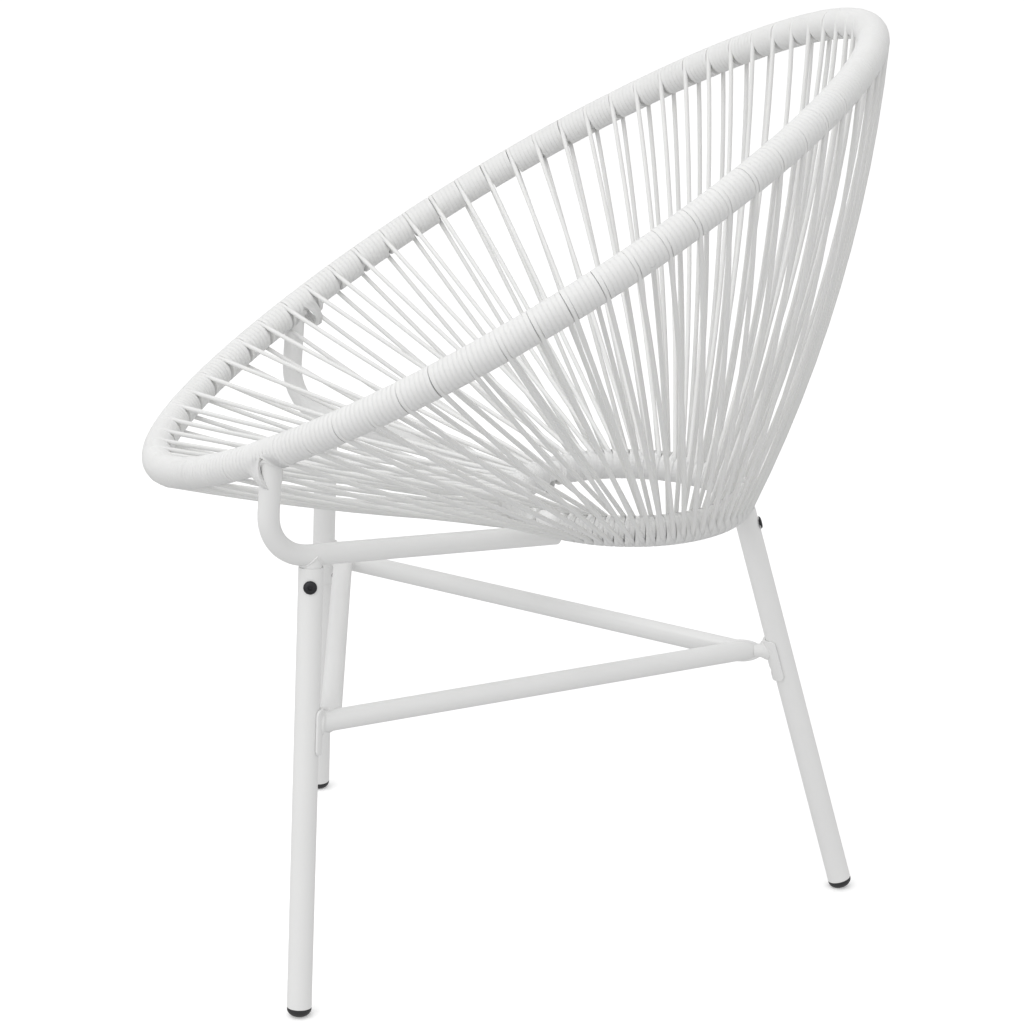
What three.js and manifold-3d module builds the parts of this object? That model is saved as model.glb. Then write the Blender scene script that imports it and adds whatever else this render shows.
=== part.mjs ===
// A corded lounge chair on three legs: a tilted hoop and a small lower ring joined by some
// 140 strings, two bent rails, three bolted legs and a triangular stretcher.
// Millimetres. +X is the sitter's left, -Y the front, +Z up, and the floor is z = 0.
import * as THREE from 'three';
import { mergeVertices } from 'three/addons/utils/BufferGeometryUtils.js';
import Module from 'manifold-3d';

const wasm = await Module();
wasm.setup();

// Fits
const fitGap = 0.3;
const boreGap = 0.3;
const cutOverrun = 5;

// Hoop
const rimWidth = 665;
const rimLength = 750;
const rimCentreHeight = 639;
const rimTilt = THREE.MathUtils.degToRad(30.7);
const rimTubeRadius = 10;
const rimTubeWall = 1.2;
// The hoop's half width and half length, each as a sum of three waves: a full oval, a little
// wider towards the back.
const rimWidthShares = [1.0123, 0.0196, 0.0133];
const rimLengthShares = [0.9755, 0.0207, 0.0245];

// Lower ring
const ringRadius = 105;
const ringHeight = 398;
const ringSetback = 111;
const ringTubeRadius = 9.5;
const ringTubeWall = 1.2;
const drainHoleRadius = 2.5;

// Cord
const cordDiameter = 4.4;
const windingGap = 0.4;
const bayGap = 0.6;
const pairSpread = 3.2;
const stringRoot = 0.5;
const rearSlackShare = 0.046;
const pairCount = 70;
const bayCount = 10;

// Rails
const railTubeRadius = 9.5;
const railTubeWall = 1.5;
const railBendRadius = 48;
const railCornerOut = 239;
const railCornerForward = 212;
const railCornerHeight = 420;
const railEndDrop = 12;
const railEndReach = 4;
// The hoop's weld lies this many string pairs round from the front.
const railWeldPairs = 9;

// Legs
const legTubeRadius = 11;
const legTubeWall = 1.2;
const frontLegFromCorner = 45;
const frontFootOut = 261;
const frontFootForward = 192;
const rearFootBack = 323;
const legTopGap = 1;
const footDomeDrop = 9;
const footFlatDepth = 1.2;
const footStemLength = 22;
const footRibHeight = 3;

// Leg stubs and their bolts
const stubWall = 1.5;
const stubLength = 48;
const boltFromLegTop = 16;
const boltRadius = 3;
const boltHeadRadius = 6.2;
const boltHeadHeight = 3.6;
const boltSocketAcross = 4;
const boltSocketDepth = 2.2;
const nutRadius = 5;
const nutThickness = 5;
const boltPastNut = 1;

// Stretcher
const braceTubeRadius = 9.5;
const braceTubeWall = 1.2;
const braceFrontHeight = 265;
const braceRearHeight = 244;
const braceCrossSetback = 20;
const braceApexGap = 37;
const saddleThickness = 2.5;
const saddleAbove = 5;
const saddleBelow = 17;
const saddleArc = THREE.MathUtils.degToRad(150);
const screwRadius = 2.5;
const screwHeadRadius = 4.6;
const screwHeadEdge = 0.3;
const screwSocketAcross = 3;
const screwSocketDepth = 1.6;
const screwLength = 12;

// Smoothness
const rimStationsPerBay = 4;
const ringStationsPerBay = 3;
const stringSides = 3;
const hoopSides = 8;
const tubeSides = 16;
const smallSides = 12;
const hexagonSides = 6;
const boreSides = 8;
const bendSteps = 6;
const domeSteps = 4;
// Corners of the winding's section, in degrees to either side of the way its strings leave.
// The faces from the first corner to the second carry the strings.
const windingCorners = [20, 55, 100, 145];
const angleStep = THREE.MathUtils.degToRad(0.01);

// Button heads, as shares of their height and radius
const headRimShare = 0.25;
const headShoulderShare = 0.8;
const headTopShare = 0.45;

const paint = new THREE.Color(0xf2f2f0);
const vinyl = new THREE.Color(0xf6f6f3);
const rubber = new THREE.Color(0x17171a);
const blackSteel = new THREE.Color(0x1c1c20);
const zinc = new THREE.Color(0xb8bcc0);

const chair = new THREE.Group();
const upward = new THREE.Vector3(0, 1, 0);

function materialOf(colour, roughness, metalness) {
  return new THREE.MeshStandardMaterial({ color: colour, roughness, metalness });
}

// Solids

function facingOut(geometry) {
  const index = geometry.index;
  const position = geometry.attributes.position;
  const [a, b, c] = [new THREE.Vector3(), new THREE.Vector3(), new THREE.Vector3()];
  let volume = 0;
  for (let i = 0; i < index.count; i += 3) {
    a.fromBufferAttribute(position, index.getX(i));
    b.fromBufferAttribute(position, index.getX(i + 1));
    c.fromBufferAttribute(position, index.getX(i + 2));
    volume += a.dot(b.cross(c));
  }
  if (volume < 0) {
    for (let i = 0; i < index.count; i += 3) {
      const second = index.getX(i + 1);
      index.setX(i + 1, index.getX(i + 2));
      index.setX(i + 2, second);
    }
  }
  return geometry;
}

function welded(geometry) {
  const copy = geometry.clone();
  copy.deleteAttribute('normal');
  copy.deleteAttribute('uv');
  return facingOut(mergeVertices(copy));
}

function solidOf(geometry) {
  const skin = welded(geometry);
  return new wasm.Manifold(new wasm.Mesh({
    numProp: 3,
    vertProperties: new Float32Array(skin.attributes.position.array),
    triVerts: new Uint32Array(skin.index.array),
  }));
}

function geometryOf(solid) {
  const mesh = solid.getMesh();
  const geometry = new THREE.BufferGeometry();
  geometry.setAttribute('position', new THREE.BufferAttribute(mesh.vertProperties.slice(), 3));
  geometry.setIndex(new THREE.BufferAttribute(mesh.triVerts.slice(), 1));
  geometry.computeVertexNormals();
  return geometry;
}

function cut(geometry, ...tools) {
  return geometryOf(tools.reduce((solid, tool) => solid.subtract(solidOf(tool)), solidOf(geometry)));
}

function joined(geometries) {
  const [first, ...rest] = geometries.map(solidOf);
  return geometryOf(rest.reduce((solid, piece) => solid.add(piece), first));
}

// Skins a row of outlines, each a loop of the same number of points.
function skinOver(outlines, closed) {
  const sides = outlines[0].length;
  const positions = outlines.flat().flatMap((point) => point.toArray());
  const faces = [];
  const steps = closed ? outlines.length : outlines.length - 1;
  for (let i = 0; i < steps; i += 1) {
    const here = i * sides;
    const next = ((i + 1) % outlines.length) * sides;
    for (let j = 0; j < sides; j += 1) {
      const k = (j + 1) % sides;
      faces.push(here + j, next + j, next + k, here + j, next + k, here + k);
    }
  }
  if (!closed) {
    const last = (outlines.length - 1) * sides;
    for (let j = 1; j < sides - 1; j += 1) {
      faces.push(0, j, j + 1, last, last + j + 1, last + j);
    }
  }
  const geometry = new THREE.BufferGeometry();
  geometry.setAttribute('position', new THREE.Float32BufferAttribute(positions, 3));
  geometry.setIndex(faces);
  return geometry;
}

// A shape whose own +Y runs from one point towards another.
function alongLine(geometry, from, to) {
  const direction = to.clone().sub(from).normalize();
  const turn = new THREE.Quaternion().setFromUnitVectors(upward, direction);
  return geometry.applyQuaternion(turn).translate(from.x, from.y, from.z);
}

function rod(from, to, radius, sides, overrun = 0) {
  const direction = to.clone().sub(from).normalize();
  const start = from.clone().addScaledVector(direction, -overrun);
  const end = to.clone().addScaledVector(direction, overrun);
  const length = start.distanceTo(end);
  const geometry = new THREE.CylinderGeometry(radius, radius, length, sides);
  geometry.translate(0, length / 2, 0);
  return alongLine(geometry, start, end);
}

function pipe(from, to, radius, wall, sides) {
  const length = from.distanceTo(to);
  const profile = [
    new THREE.Vector2(radius - wall, 0),
    new THREE.Vector2(radius, 0),
    new THREE.Vector2(radius, length),
    new THREE.Vector2(radius - wall, length),
    new THREE.Vector2(radius - wall, 0),
  ];
  return alongLine(new THREE.LatheGeometry(profile, sides), from, to);
}

function turned(profile, sides, from, to) {
  const points = profile.map(([radius, height]) => new THREE.Vector2(radius, height));
  return alongLine(new THREE.LatheGeometry(points, sides), from, to);
}

function addPiece(name, geometry, material) {
  const mesh = new THREE.Mesh(welded(geometry), material);
  mesh.name = name;
  chair.add(mesh);
}

function between(from, to, share) {
  return from.clone().lerp(to, share);
}

function towards(from, to, distance) {
  return from.clone().addScaledVector(to.clone().sub(from).normalize(), distance);
}

// Hoop and ring as rows of stations, each with a centre and two directions across the tube

const rimAxisDirection = new THREE.Vector3(0, Math.cos(rimTilt), Math.sin(rimTilt));
const rimNormal = new THREE.Vector3(0, -Math.sin(rimTilt), Math.cos(rimTilt));
const ringNormal = new THREE.Vector3(0, 0, 1);

function rimCurve(angle) {
  const wave = (shares, shape) => shares.reduce(
    (sum, share, i) => sum + share * shape((i + 1) * angle), 0);
  const out = (rimWidth / 2) * wave(rimWidthShares, Math.sin);
  const along = (rimLength / 2) * (rimLengthShares[1] - wave(rimLengthShares, Math.cos));
  return new THREE.Vector3(out, 0, rimCentreHeight).addScaledVector(rimAxisDirection, along);
}

function ringCurve(angle) {
  return new THREE.Vector3(
    ringRadius * Math.sin(angle), ringSetback - ringRadius * Math.cos(angle), ringHeight);
}

function tangentOf(curve, angle) {
  return curve(angle + angleStep).sub(curve(angle - angleStep)).normalize();
}

// A place on the hoop or ring, with the way that its strings leave it.
function stationOf(curve, normal, angle, stringEnd) {
  const centre = curve(angle);
  const out = tangentOf(curve, angle).cross(normal).normalize();
  return { centre, out, normal, facing: stringEnd.clone().sub(centre) };
}

function outlineFrom(station, radius, turns) {
  return turns.map((turn) => station.centre.clone()
    .addScaledVector(station.out, radius * Math.cos(turn))
    .addScaledVector(station.normal, radius * Math.sin(turn)));
}

function tubeOutline(station, radius) {
  const turns = Array.from({ length: hoopSides }, (_, i) => ((i + 0.5) / hoopSides) * 2 * Math.PI);
  return outlineFrom(station, radius, turns);
}

function windingOutline(station, radius) {
  const corners = windingCorners.map(THREE.MathUtils.degToRad);
  const around = [...corners, ...corners.toReversed().map((turn) => -turn)];
  const facing = Math.atan2(station.facing.dot(station.normal), station.facing.dot(station.out));
  return outlineFrom(station, radius, around.map((turn) => facing + turn));
}

function mixOutlines(first, second, share) {
  return first.map((point, i) => point.clone().lerp(second[i], share));
}

// The winding on one bay: a sleeve over the tube from station first to station last.
function sleeve(stations, first, last, tubeRadius) {
  const row = (outlineAt, radius, end) => {
    const outlines = [];
    for (let i = first; i <= last; i += 1) {
      outlines.push(outlineAt(stations[i % stations.length], radius));
    }
    const firstStep = outlines[0][0].distanceTo(outlines[1][0]);
    const lastStep = outlines.at(-1)[0].distanceTo(outlines.at(-2)[0]);
    outlines[0] = mixOutlines(outlines[0], outlines[1], end / firstStep);
    outlines[outlines.length - 1] = mixOutlines(outlines.at(-1), outlines.at(-2), end / lastStep);
    return outlines;
  };
  const shell = skinOver(row(windingOutline, tubeRadius + cordDiameter, bayGap / 2), false);
  const bore = skinOver(row(tubeOutline, tubeRadius + windingGap, -bayGap / 2), false);
  return cut(shell, bore);
}

const pairPitch = (2 * Math.PI) / pairCount;
const pairsPerBay = pairCount / bayCount;

// The strings part at the ring to let the rails and the rear stub through.
const stringClear = cordDiameter / 2 + fitGap;
const railRingAngle = railWeldPairs * pairPitch;
const railGapAngle = (railTubeRadius + stringClear) / ringRadius;
const stubRadius = legTubeRadius - legTubeWall - fitGap;
const rearGapAngle = (stubRadius + stringClear) / ringRadius;

// The ring angle for a place counted in string pairs from the front.
function ringAngleOf(pairs) {
  const half = pairCount / 2;
  if (pairs > half) {
    return 2 * Math.PI - ringAngleOf(pairCount - pairs);
  }
  if (pairs <= railWeldPairs) {
    return (pairs / railWeldPairs) * (railRingAngle - railGapAngle);
  }
  const share = (pairs - railWeldPairs) / (half - railWeldPairs);
  return THREE.MathUtils.lerp(railRingAngle + railGapAngle, Math.PI - rearGapAngle, share);
}

const rimStationCount = bayCount * rimStationsPerBay;
const rimStations = [];
for (let i = 0; i < rimStationCount; i += 1) {
  const pairs = (i / rimStationCount) * pairCount;
  const stringEnd = ringCurve(ringAngleOf(pairs));
  rimStations.push(stationOf(rimCurve, rimNormal, pairs * pairPitch, stringEnd));
}

const ringBayStations = [];
for (let bay = 0; bay < bayCount; bay += 1) {
  const start = bay * pairsPerBay;
  const end = start + pairsPerBay;
  const startAngle = start === pairCount / 2
    ? 2 * Math.PI - ringAngleOf(start) : ringAngleOf(start);
  const endAngle = end === pairCount ? 2 * Math.PI : ringAngleOf(end);
  const row = [];
  for (let i = 0; i <= ringStationsPerBay; i += 1) {
    const share = i / ringStationsPerBay;
    const angle = THREE.MathUtils.lerp(startAngle, endAngle, share);
    const stringEnd = rimCurve(THREE.MathUtils.lerp(start, end, share) * pairPitch);
    row.push(stationOf(ringCurve, ringNormal, angle, stringEnd));
  }
  ringBayStations.push(row);
}

const ringStations = ringBayStations.flatMap((row, bay) => (
  bay === bayCount / 2 - 1 ? row : row.slice(0, -1)));

// A tube bent round and welded end to end, with a drain hole under its foremost point.
function closedTube(stations, radius, wall) {
  const shell = skinOver(stations.map((station) => tubeOutline(station, radius)), true);
  const bore = skinOver(stations.map((station) => tubeOutline(station, radius - wall)), true);
  const { centre, normal } = stations[0];
  const below = centre.clone().addScaledVector(normal, -radius - cutOverrun);
  const drain = rod(centre, below, drainHoleRadius, boreSides);
  return cut(shell, bore, drain);
}

// Frame places

const railWeld = rimCurve(railRingAngle);

function sided(side, x, y, z) {
  return new THREE.Vector3(side * x, y, z);
}

function railPoints(side) {
  const top = sided(side, railWeld.x, railWeld.y, railWeld.z);
  const corner = sided(side, railCornerOut, -railCornerForward, railCornerHeight);
  const joint = ringCurve(side * railRingAngle);
  joint.z -= railEndDrop;
  return { top, corner, end: towards(joint, corner, -railEndReach) };
}

function railLegPoint(side) {
  const { corner, end } = railPoints(side);
  return towards(corner, end, frontLegFromCorner);
}

function legOf(place) {
  if (place === 'rear') {
    const top = ringCurve(Math.PI);
    const foot = new THREE.Vector3(0, rearFootBack, 0);
    return { top, foot, topTubeRadius: ringTubeRadius + cordDiameter };
  }
  const side = place === 'front_left' ? 1 : -1;
  return {
    top: railLegPoint(side),
    foot: sided(side, frontFootOut, -frontFootForward, 0),
    topTubeRadius: railTubeRadius,
  };
}

function boltDirection(place, leg) {
  const outward = {
    front_left: new THREE.Vector3(1, 0, 0),
    front_right: new THREE.Vector3(-1, 0, 0),
    rear: new THREE.Vector3(0, 1, 0),
  }[place];
  const axis = leg.foot.clone().sub(leg.top).normalize();
  return outward.addScaledVector(axis, -outward.dot(axis)).normalize();
}

// Rails

function railPath(side) {
  const { top, corner, end } = railPoints(side);
  const rise = top.clone().sub(corner).normalize();
  const run = end.clone().sub(corner).normalize();
  const bend = Math.PI - rise.angleTo(run);
  const setback = railBendRadius * Math.tan(bend / 2);
  const start = corner.clone().addScaledVector(rise, setback);
  const finish = corner.clone().addScaledVector(run, setback);
  const centre = corner.clone().addScaledVector(
    rise.clone().add(run).normalize(), railBendRadius / Math.cos(bend / 2));
  const axis = start.clone().sub(centre).cross(finish.clone().sub(centre)).normalize();
  const points = [top];
  for (let i = 0; i <= bendSteps; i += 1) {
    const across = start.clone().sub(centre);
    points.push(across.applyAxisAngle(axis, (bend * i) / bendSteps).add(centre));
  }
  points.push(end);
  return points;
}

function railOutlines(points, radius, overrun, sides = tubeSides) {
  const first = towards(points[0], points[1], -overrun);
  const last = towards(points.at(-1), points.at(-2), -overrun);
  const route = [first, ...points.slice(1, -1), last];
  const rise = route[1].clone().sub(route[0]);
  const run = route.at(-1).clone().sub(route.at(-2));
  const flat = rise.cross(run).normalize();
  return route.map((point, i) => {
    const before = route[Math.max(i - 1, 0)];
    const after = route[Math.min(i + 1, route.length - 1)];
    const into = i === 0 ? after.clone().sub(point) : point.clone().sub(before);
    const away = i === route.length - 1 ? into.clone() : after.clone().sub(point);
    const tangent = into.normalize().add(away.normalize()).normalize();
    const across = flat.clone().cross(tangent);
    const outline = [];
    for (let j = 0; j < sides; j += 1) {
      const turn = (j / sides) * 2 * Math.PI;
      outline.push(point.clone()
        .addScaledVector(flat, radius * Math.cos(turn))
        .addScaledVector(across, radius * Math.sin(turn)));
    }
    return outline;
  });
}

const rimTubeTool = skinOver(
  rimStations.map((station) => tubeOutline(station, rimTubeRadius + fitGap)), true);
const ringTubeTool = skinOver(
  ringStations.map((station) => tubeOutline(station, ringTubeRadius + fitGap)), true);

function rail(side) {
  const points = railPath(side);
  const shell = skinOver(railOutlines(points, railTubeRadius, 0), false);
  const bore = skinOver(railOutlines(points, railTubeRadius - railTubeWall, cutOverrun), false);
  return largest(cut(shell, rimTubeTool, ringTubeTool, bore));
}

// Coping a tube's end can leave slivers beyond the cut, so only the main body is kept.
function largest(geometry) {
  const bodies = solidOf(geometry).decompose();
  return geometryOf(bodies.reduce((best, body) => (body.volume() > best.volume() ? body : best)));
}

function railTool(side, gap, sides) {
  const radius = (railTubeRadius + gap) / Math.cos(Math.PI / sides);
  return skinOver(railOutlines(railPath(side), radius, 0, sides), false);
}

// Legs, stubs, bolts, nuts and feet

function legEnds(leg) {
  const axis = leg.foot.clone().sub(leg.top).normalize();
  const top = leg.top.clone().addScaledVector(axis, leg.topTubeRadius + legTopGap);
  const tilt = Math.acos(-axis.z);
  const domeReach = Math.hypot(legTubeRadius * Math.sin(tilt), footDomeDrop * Math.cos(tilt));
  const endHeight = domeReach - footFlatDepth;
  const end = leg.foot.clone().addScaledVector(axis, endHeight / axis.z);
  return { axis, top, end };
}

function boltAxis(place, leg) {
  const { axis, top } = legEnds(leg);
  const centre = top.clone().addScaledVector(axis, boltFromLegTop);
  return { centre, direction: boltDirection(place, leg) };
}

function boltHole(place, leg) {
  const { centre, direction } = boltAxis(place, leg);
  const outside = centre.clone().addScaledVector(direction, legTubeRadius + cutOverrun);
  return rod(centre, outside, boltRadius + boreGap, boreSides);
}

// The place on a leg's axis at a given height.
function legPlaceAt(leg, height) {
  const { top, end } = legEnds(leg);
  return between(top, end, (top.z - height) / (top.z - end.z));
}

// Where a saddle sits on its leg, and the way that its stretcher tube leaves it.
function saddlePlace(place, leg) {
  const rear = place === 'rear';
  const centre = legPlaceAt(leg, rear ? braceRearHeight : braceFrontHeight);
  const inward = rear ? new THREE.Vector3(0, -1, 0) : braceDirection(Math.sign(leg.foot.x));
  const { axis } = legEnds(leg);
  inward.addScaledVector(axis, -inward.dot(axis)).normalize();
  return { centre, axis, inward };
}

// A countersunk screw's face lies as deep in the curved plate as its rim needs.
const screwFace = Math.sqrt((legTubeRadius + fitGap + saddleThickness) ** 2 - screwHeadRadius ** 2);

// The outline of a countersunk screw, from its tip to a given height above its face.
function screwProfile(gap, above) {
  const [shank, head] = [screwRadius + gap, screwHeadRadius + gap];
  const edge = screwLength - screwHeadEdge;
  const top = screwLength + above;
  return [[0, 0], [shank, 0], [shank, edge - (head - shank)], [head, edge], [head, top], [0, top]];
}

function screwHole(place, leg) {
  const { centre, axis, inward } = saddlePlace(place, leg);
  const spot = centre.clone().addScaledVector(axis, braceTubeRadius + saddleBelow / 2);
  const tip = spot.clone().addScaledVector(inward, screwFace - screwLength);
  const face = spot.clone().addScaledVector(inward, screwFace);
  return { tip, face, inward, tool: turned(screwProfile(boreGap, cutOverrun), smallSides, tip, face) };
}

function legTube(place, leg) {
  const { top, end } = legEnds(leg);
  const tube = pipe(top, end, legTubeRadius, legTubeWall, tubeSides);
  return cut(tube, boltHole(place, leg), screwHole(place, leg).tool);
}

function stub(place, leg) {
  const { axis, top } = legEnds(leg);
  const bottom = top.clone().addScaledVector(axis, stubLength);
  const tube = pipe(leg.top, bottom, stubRadius, stubWall, tubeSides);
  const carrier = place === 'rear'
    ? ringTubeTool : railTool(Math.sign(leg.foot.x), fitGap, tubeSides);
  return largest(cut(tube, carrier, boltHole(place, leg)));
}

function hexPrism(across, from, to) {
  const radius = across / 2 / Math.cos(Math.PI / hexagonSides);
  return rod(from, to, radius, hexagonSides);
}

// A button head with a hexagon socket on a plain shank, its head's seat at a given place.
function buttonBolt(seat, direction, sizes) {
  const { radius, headRadius, headHeight, socketAcross, socketDepth, length } = sizes;
  const tip = seat.clone().addScaledVector(direction, -length);
  const crown = seat.clone().addScaledVector(direction, headHeight);
  const profile = [
    [0, 0],
    [radius, 0],
    [radius, length],
    [headRadius, length],
    [headRadius, length + headHeight * headRimShare],
    [headRadius * headShoulderShare, length + headHeight * headShoulderShare],
    [headRadius * headTopShare, length + headHeight],
    [0, length + headHeight],
  ];
  const body = turned(profile, smallSides, tip, crown);
  const floor = crown.clone().addScaledVector(direction, -socketDepth);
  const above = crown.clone().addScaledVector(direction, cutOverrun);
  return cut(body, hexPrism(socketAcross, floor, above));
}

const nutFace = Math.sqrt((stubRadius - stubWall - fitGap) ** 2 - nutRadius ** 2);

function legBolt(place, leg) {
  const { centre, direction } = boltAxis(place, leg);
  const seat = centre.clone().addScaledVector(direction, legTubeRadius + fitGap);
  return buttonBolt(seat, direction, {
    radius: boltRadius,
    headRadius: boltHeadRadius,
    headHeight: boltHeadHeight,
    socketAcross: boltSocketAcross,
    socketDepth: boltSocketDepth,
    length: legTubeRadius + fitGap - nutFace + nutThickness + boltPastNut,
  });
}

function weldNut(place, leg) {
  const { centre, direction } = boltAxis(place, leg);
  const outer = centre.clone().addScaledVector(direction, nutFace);
  const inner = centre.clone().addScaledVector(direction, nutFace - nutThickness);
  const bore = rod(inner, outer, boltRadius + boreGap, boreSides, cutOverrun);
  return cut(rod(inner, outer, nutRadius, smallSides), bore);
}

function footPlug(leg) {
  const { axis, end } = legEnds(leg);
  const stemRadius = legTubeRadius - legTubeWall - fitGap;
  const ribRadius = stemRadius - legTubeWall;
  const profile = [[0, -footStemLength], [ribRadius, -footStemLength]];
  const ribPitch = 2 * footRibHeight;
  for (let low = footRibHeight - footStemLength; low + footRibHeight < 0; low += ribPitch) {
    const high = low + footRibHeight;
    profile.push([ribRadius, low], [stemRadius, (low + high) / 2], [ribRadius, high]);
  }
  profile.push([ribRadius, fitGap], [legTubeRadius, fitGap]);
  for (let i = 1; i < domeSteps; i += 1) {
    const turn = (i / domeSteps) * (Math.PI / 2);
    profile.push([legTubeRadius * Math.cos(turn), footDomeDrop * Math.sin(turn)]);
  }
  profile.push([0, footDomeDrop]);
  const plug = turned(profile, smallSides, end, end.clone().add(axis));
  const floorWidth = legTubeRadius + footStemLength + footDomeDrop;
  const floorTool = new THREE.BoxGeometry(floorWidth, floorWidth, footDomeDrop);
  floorTool.translate(leg.foot.x, leg.foot.y, -footDomeDrop / 2);
  return cut(plug, floorTool);
}

// Stretcher

function braceApex() {
  const rear = legPlaceAt(legOf('rear'), braceRearHeight);
  return rear.add(new THREE.Vector3(0, -braceApexGap, 0));
}

function braceStart(side) {
  return legPlaceAt(legOf(side > 0 ? 'front_left' : 'front_right'), braceFrontHeight);
}

function braceDirection(side) {
  return braceApex().sub(braceStart(side)).normalize();
}

function saddleTool(place) {
  const leg = legOf(place);
  const { top, end } = legEnds(leg);
  return rod(top, end, legTubeRadius + fitGap + saddleThickness + fitGap, tubeSides, cutOverrun);
}

function braceSide(side) {
  const start = braceStart(side);
  const apex = braceApex();
  const finish = apex.clone().addScaledVector(braceDirection(side), braceApexGap);
  const tube = pipe(start, finish, braceTubeRadius, braceTubeWall, tubeSides);
  const half = new THREE.BoxGeometry(rimWidth, rimLength * 2, rimLength);
  half.translate(-side * (rimWidth / 2 - fitGap / 2), 0, braceRearHeight);
  const front = side > 0 ? 'front_left' : 'front_right';
  return largest(cut(tube, half, saddleTool(front), saddleTool('rear')));
}

function braceCross() {
  const start = braceStart(1);
  const y = start.y + braceCrossSetback;
  const direction = braceDirection(1);
  const place = (side) => {
    const share = braceCrossSetback / direction.y;
    const point = braceStart(side);
    return sided(side, start.x + direction.x * share, y, point.z + direction.z * share);
  };
  const tube = pipe(place(-1), place(1), braceTubeRadius, braceTubeWall, tubeSides);
  const toolRadius = braceTubeRadius + fitGap;
  const tool = (side) => rod(braceStart(side), braceApex(), toolRadius, tubeSides, cutOverrun);
  return largest(cut(tube, tool(1), tool(-1)));
}

function saddle(place) {
  const leg = legOf(place);
  const { centre, axis, inward } = saddlePlace(place, leg);
  const inner = legTubeRadius + fitGap;
  const outer = inner + saddleThickness;
  const shape = new THREE.Shape();
  shape.absarc(0, 0, outer, -saddleArc / 2, saddleArc / 2, false);
  shape.absarc(0, 0, inner, saddleArc / 2, -saddleArc / 2, true);
  const depth = 2 * braceTubeRadius + saddleAbove + saddleBelow;
  const plate = new THREE.ExtrudeGeometry(shape, {
    depth, bevelEnabled: false, curveSegments: boreSides,
  });
  const sideways = axis.clone().cross(inward);
  const top = centre.clone().addScaledVector(axis, -braceTubeRadius - saddleAbove);
  plate.applyMatrix4(new THREE.Matrix4().makeBasis(inward, sideways, axis).setPosition(top));
  return cut(plate, screwHole(place, leg).tool);
}

function saddleScrew(place) {
  const leg = legOf(place);
  const { tip, face, inward } = screwHole(place, leg);
  const floor = face.clone().addScaledVector(inward, -screwSocketDepth);
  const above = face.clone().addScaledVector(inward, cutOverrun);
  const body = turned(screwProfile(0, 0), smallSides, tip, face);
  return cut(body, hexPrism(screwSocketAcross, floor, above));
}

// Seat cord, one bay of string pairs at a time

function onPolyline(stations, pairs) {
  const place = (pairs / pairCount) * stations.length;
  const i = Math.floor(place) % stations.length;
  const next = stations[(i + 1) % stations.length];
  return between(stations[i].centre, next.centre, place - Math.floor(place));
}

// One string, from the face above or below on the hoop's winding to the like face on the ring's.
function seatString(pairs, side) {
  const rimSpread = pairSpread / (rimWidth / 2);
  const rimPlace = pairs - (side * rimSpread) / pairPitch;
  const ringAngle = ringAngleOf(pairs);
  const rimCentre = onPolyline(rimStations, rimPlace);
  const ringCentre = ringCurve(ringAngle);
  const direction = ringCentre.clone().sub(rimCentre).normalize();
  const cordRadius = cordDiameter / 2;
  const rooted = (centre, tangent, tubeRadius, away) => {
    const lift = tangent.clone().cross(direction).normalize();
    lift.multiplyScalar(Math.sign(lift.z) * side);
    const [low, high] = windingCorners.map(THREE.MathUtils.degToRad).map(Math.sin);
    const height = ((tubeRadius + cordDiameter) * (low + high)) / 2;
    const reach = Math.sqrt((tubeRadius + windingGap) ** 2 - (height - cordRadius) ** 2) + stringRoot;
    const inPlane = away.clone().addScaledVector(tangent, -away.dot(tangent)).normalize();
    return centre.clone().addScaledVector(lift, height).addScaledVector(inPlane, reach);
  };
  const rimTangent = tangentOf(rimCurve, rimPlace * pairPitch);
  const from = rooted(rimCentre, rimTangent, rimTubeRadius, direction);
  const back = direction.clone().negate();
  const to = rooted(ringCentre, tangentOf(ringCurve, ringAngle), ringTubeRadius, back);
  const length = from.distanceTo(to);
  const slack = rearSlackShare * Math.max(0, -Math.cos(rimPlace * pairPitch)) ** 2;
  const steps = slack > 0 ? 2 : 1;
  const string = new THREE.CylinderGeometry(cordRadius, cordRadius, length, stringSides, steps);
  string.rotateY(Math.PI / stringSides);
  const corners = string.attributes.position;
  for (let i = 0; i < corners.count; i += 1) {
    const bow = slack * length * (1 - Math.abs(corners.getY(i)) / (length / 2));
    corners.setX(i, corners.getX(i) - bow);
  }
  string.translate(0, length / 2, 0);
  const along = to.clone().sub(from).normalize();
  const sideways = rimTangent.clone().cross(along).normalize();
  const across = sideways.clone().cross(along);
  const placed = new THREE.Matrix4().makeBasis(sideways, along, across).setPosition(from);
  return string.applyMatrix4(placed);
}

const railClearance = [railTool(1, windingGap, boreSides), railTool(-1, windingGap, boreSides)];
const vinylCord = materialOf(vinyl, 0.42, 0);

for (let bay = 0; bay < bayCount; bay += 1) {
  const first = bay * rimStationsPerBay;
  const pieces = [
    sleeve(rimStations, first, first + rimStationsPerBay, rimTubeRadius),
    sleeve(ringBayStations[bay], 0, ringStationsPerBay, ringTubeRadius),
  ];
  for (let i = 0; i < pairsPerBay; i += 1) {
    const pairs = bay * pairsPerBay + i + 0.5;
    pieces.push(seatString(pairs, 1), seatString(pairs, -1));
  }
  const name = `seat_cord_${String(bay + 1).padStart(2, '0')}`;
  addPiece(name, largest(cut(joined(pieces), ...railClearance)), vinylCord);
}

const paintedSteel = materialOf(paint, 0.35, 0.1);
addPiece('rim_hoop', closedTube(rimStations, rimTubeRadius, rimTubeWall), paintedSteel);
addPiece('lower_ring', closedTube(ringStations, ringTubeRadius, ringTubeWall), paintedSteel);
addPiece('support_rail_left', rail(1), paintedSteel);
addPiece('support_rail_right', rail(-1), paintedSteel);

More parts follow.
